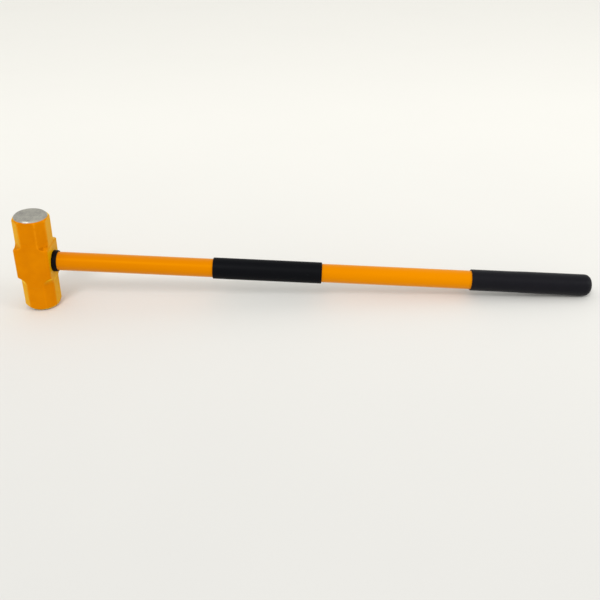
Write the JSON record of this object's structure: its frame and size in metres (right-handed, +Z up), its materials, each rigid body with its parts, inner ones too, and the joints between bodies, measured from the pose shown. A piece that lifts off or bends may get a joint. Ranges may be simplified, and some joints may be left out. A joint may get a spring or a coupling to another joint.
{
  "type": "sledgehammer",
  "caption": "Double-faced sledgehammer with an eight-sided forged head bonded to a long straight jacketed handle with black grips, lying at rest on a face and the grip end.",
  "frame": {"origin": "on the surface the hammer lies on, under the middle of its bounding box", "axes": "+X from the head towards the grip end, +Y across the handle, +Z up; the hammer lies in the XZ plane, its handle sloping down towards +X by 4.19 degrees"},
  "size_m": [0.9024, 0.0516, 0.16],
  "materials": {
    "head_paint": "yellow-orange enamel on forged steel; both striking faces ground bare",
    "resin": "cast epoxy resin, amber brown",
    "dam_plastic": "natural nylon washer",
    "fibreglass": "pultruded glass fibre in polyester resin, fibres along the rod",
    "jacket_plastic": "smooth orange moulded polymer, semi-gloss",
    "collar_rubber": "black moulded rubber",
    "middle_grip_rubber": "smooth black rubber sleeve, slight sheen",
    "end_grip_rubber": "charcoal rubber, fine matt texture"
  },
  "bodies": {
    "root": {"hammer_head": "head_paint", "eye_resin": "resin", "resin_dam": "dam_plastic", "handle_core": "fibreglass", "handle_jacket": "jacket_plastic", "head_collar": "collar_rubber", "middle_grip": "middle_grip_rubber", "end_grip": "end_grip_rubber"}
  },
  "joints": []
}
